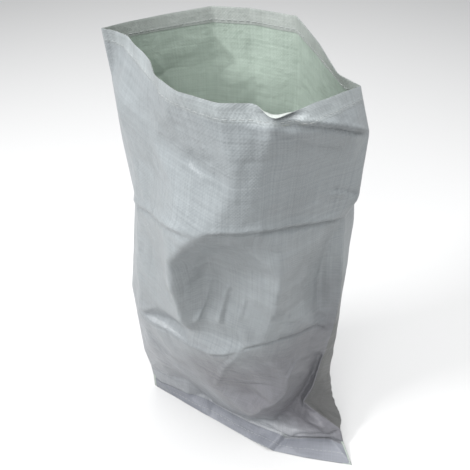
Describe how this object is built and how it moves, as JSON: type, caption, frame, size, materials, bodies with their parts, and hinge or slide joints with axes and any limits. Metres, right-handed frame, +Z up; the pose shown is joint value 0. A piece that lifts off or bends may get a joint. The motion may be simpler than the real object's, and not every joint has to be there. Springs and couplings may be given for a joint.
{
  "type": "woven polypropylene sack",
  "caption": "Circular-woven polypropylene sack with a turned-in mouth hem and a sewn bottom seam, standing open and empty.",
  "frame": {"origin": "on the floor under the standing sack, midway between the two ends of its bottom seam", "axes": "+X along the bottom seam to the right, -Y out of the front panel, +Z up through the open mouth"},
  "size_m": [0.59, 0.3512, 1.055],
  "materials": {
    "woven_cloth": "flat polypropylene tapes, plain weave, satin",
    "sewing_thread": "spun multifilament thread, matt"
  },
  "bodies": {
    "root": {"woven_tube": "woven_cloth", "mouth_hem": "woven_cloth", "bottom_hem": "woven_cloth", "mouth_needle_thread": "sewing_thread", "mouth_looper_thread": "sewing_thread", "bottom_needle_thread": "sewing_thread", "bottom_looper_thread": "sewing_thread"}
  },
  "joints": []
}
